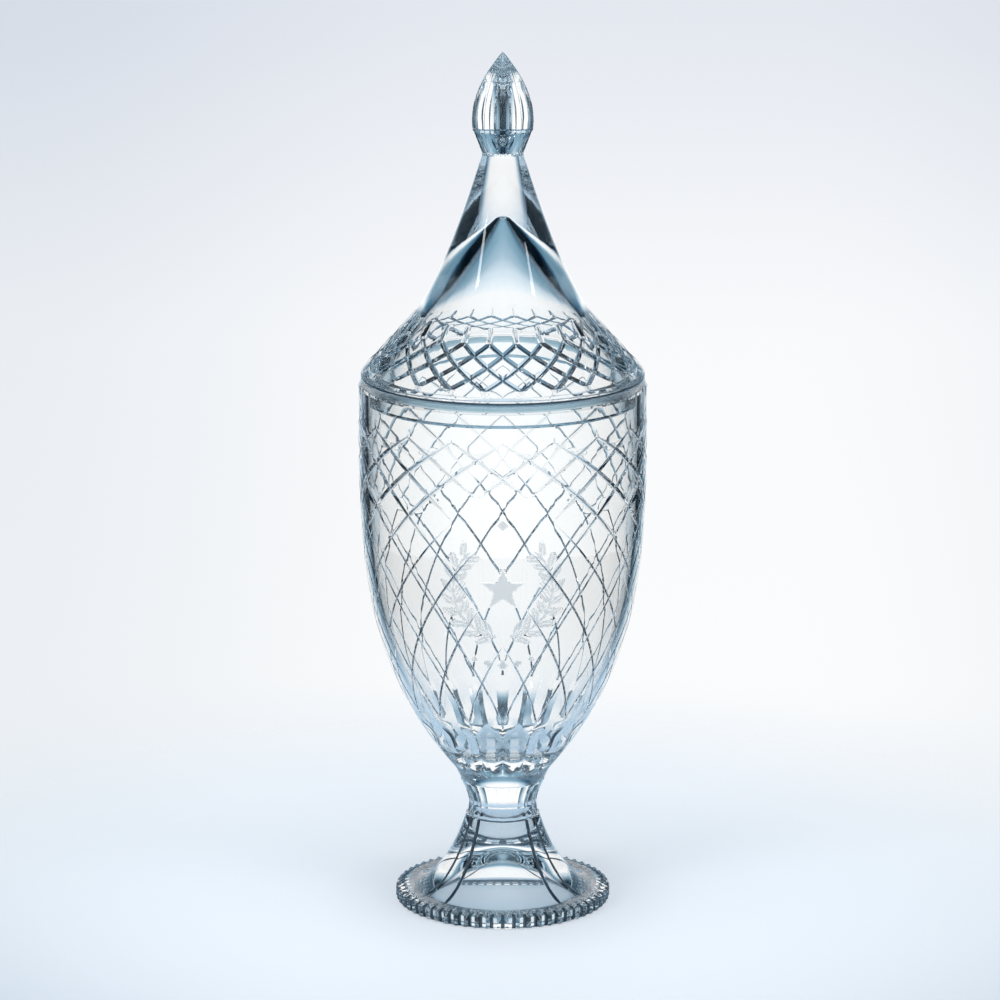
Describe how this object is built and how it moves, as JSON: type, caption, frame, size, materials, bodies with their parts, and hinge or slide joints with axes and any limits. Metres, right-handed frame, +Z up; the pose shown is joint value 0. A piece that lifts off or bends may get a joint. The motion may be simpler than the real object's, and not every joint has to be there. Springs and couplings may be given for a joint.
{
  "type": "covered urn trophy",
  "caption": "Tall clear cut-crystal covered urn: panel-cut foot, ovoid bowl with a diamond lattice, and a hollow flared lid with a fluted bud finial that lifts off.",
  "frame": {"origin": "centre of the foot's ground ring, on the plane that it stands on", "axes": "+Z up the urn's axis to the finial, -Y to the front, where the clear lozenge in the lattice is"},
  "size_m": [0.1362, 0.1362, 0.4105],
  "materials": {
    "cut_crystal": "polished cut crystal, clear with a faint cool tint",
    "clear_adhesive": "clear cured adhesive film"
  },
  "bodies": {
    "cup": {"foot": "cut_crystal", "foot_bond": "clear_adhesive", "bowl": "cut_crystal"},
    "cover": {"lid": "cut_crystal", "finial_bond": "clear_adhesive", "finial": "cut_crystal"}
  },
  "joints": [
    {"name": "lid_lift", "type": "slide", "parent": "cup", "child": "cover", "axis": [0, 0, 1], "range_m": [0, 0.12]}
  ]
}
